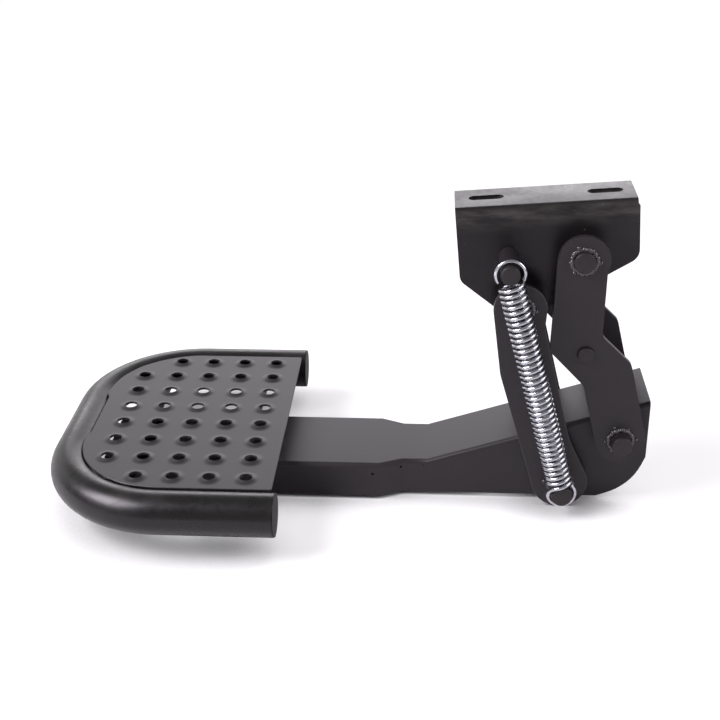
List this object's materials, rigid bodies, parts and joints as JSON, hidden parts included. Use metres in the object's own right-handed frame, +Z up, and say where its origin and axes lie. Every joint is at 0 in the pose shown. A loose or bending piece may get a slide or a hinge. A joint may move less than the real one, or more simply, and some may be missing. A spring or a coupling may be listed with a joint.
{
  "type": "folding bumper step",
  "caption": "Folding rear bumper step: dimpled tread in a bent tube rim on a swinging arm, held by a four-bar linkage and return spring under a slotted mounting bracket.",
  "frame": {"origin": "centre of the mounting bracket's top face", "axes": "+Z up, +X from the step towards the vehicle, the return spring on the -Y side"},
  "size_m": [0.5373, 0.318, 0.2854],
  "materials": {
    "black_coat": "semi-matte black powder coat",
    "rim_coat": "satin black powder coat",
    "tread_coat": "satin black powder coat",
    "plug_plastic": "moulded dark plastic",
    "zinc_wire": "bright zinc plate"
  },
  "bodies": {
    "bracket": {"mount_bracket": "black_coat", "outer_hinge_sleeve": "black_coat", "inner_hinge_sleeve": "black_coat", "spring_stud": "black_coat"},
    "outer_link": {"outer_link_near": "black_coat", "outer_link_far": "black_coat", "outer_hinge_pin": "black_coat", "lower_outer_pin": "black_coat"},
    "inner_link": {"inner_link_near": "black_coat", "inner_link_far": "black_coat", "inner_hinge_pin": "black_coat", "lower_inner_pin": "black_coat", "tie_pin": "black_coat"},
    "arm": {"step_arm": "black_coat", "lower_outer_sleeve": "black_coat", "lower_inner_sleeve": "black_coat", "front_cross_bar": "black_coat", "rear_cross_bar": "black_coat", "rim_tube": "rim_coat", "tube_plug_near": "plug_plastic", "tube_plug_far": "plug_plastic", "tread_plate": "tread_coat"},
    "spring": {"return_spring": "zinc_wire"}
  },
  "joints": [
    {"name": "fold_hinge", "type": "hinge", "parent": "bracket", "child": "outer_link", "pos_m": [-0.01852, 0, -0.08639], "axis": [0, -1, 0], "range_deg": [0, 54]},
    {"name": "inner_hinge", "type": "hinge", "parent": "bracket", "child": "inner_link", "pos_m": [0.03234, 0, -0.04171], "axis": [0, -1, 0], "range_deg": [0, 54]},
    {"name": "arm_hinge", "type": "hinge", "parent": "outer_link", "child": "arm", "pos_m": [0.02423, 0, -0.25536], "axis": [0, -1, 0], "range_deg": [-54, 0]},
    {"name": "spring_swing", "type": "hinge", "parent": "bracket", "child": "spring", "pos_m": [-0.0297, -0.068, -0.0461], "axis": [0, -1, 0], "range_deg": [0, 44.3], "deforming": ["return_spring"]}
  ],
  "couplings": [
    {"joint": "inner_hinge", "follows": "fold_hinge", "ratio": 1},
    {"joint": "arm_hinge", "follows": "fold_hinge", "ratio": -1},
    {"joint": "spring_swing", "follows": "fold_hinge", "ratio": 0.82}
  ]
}
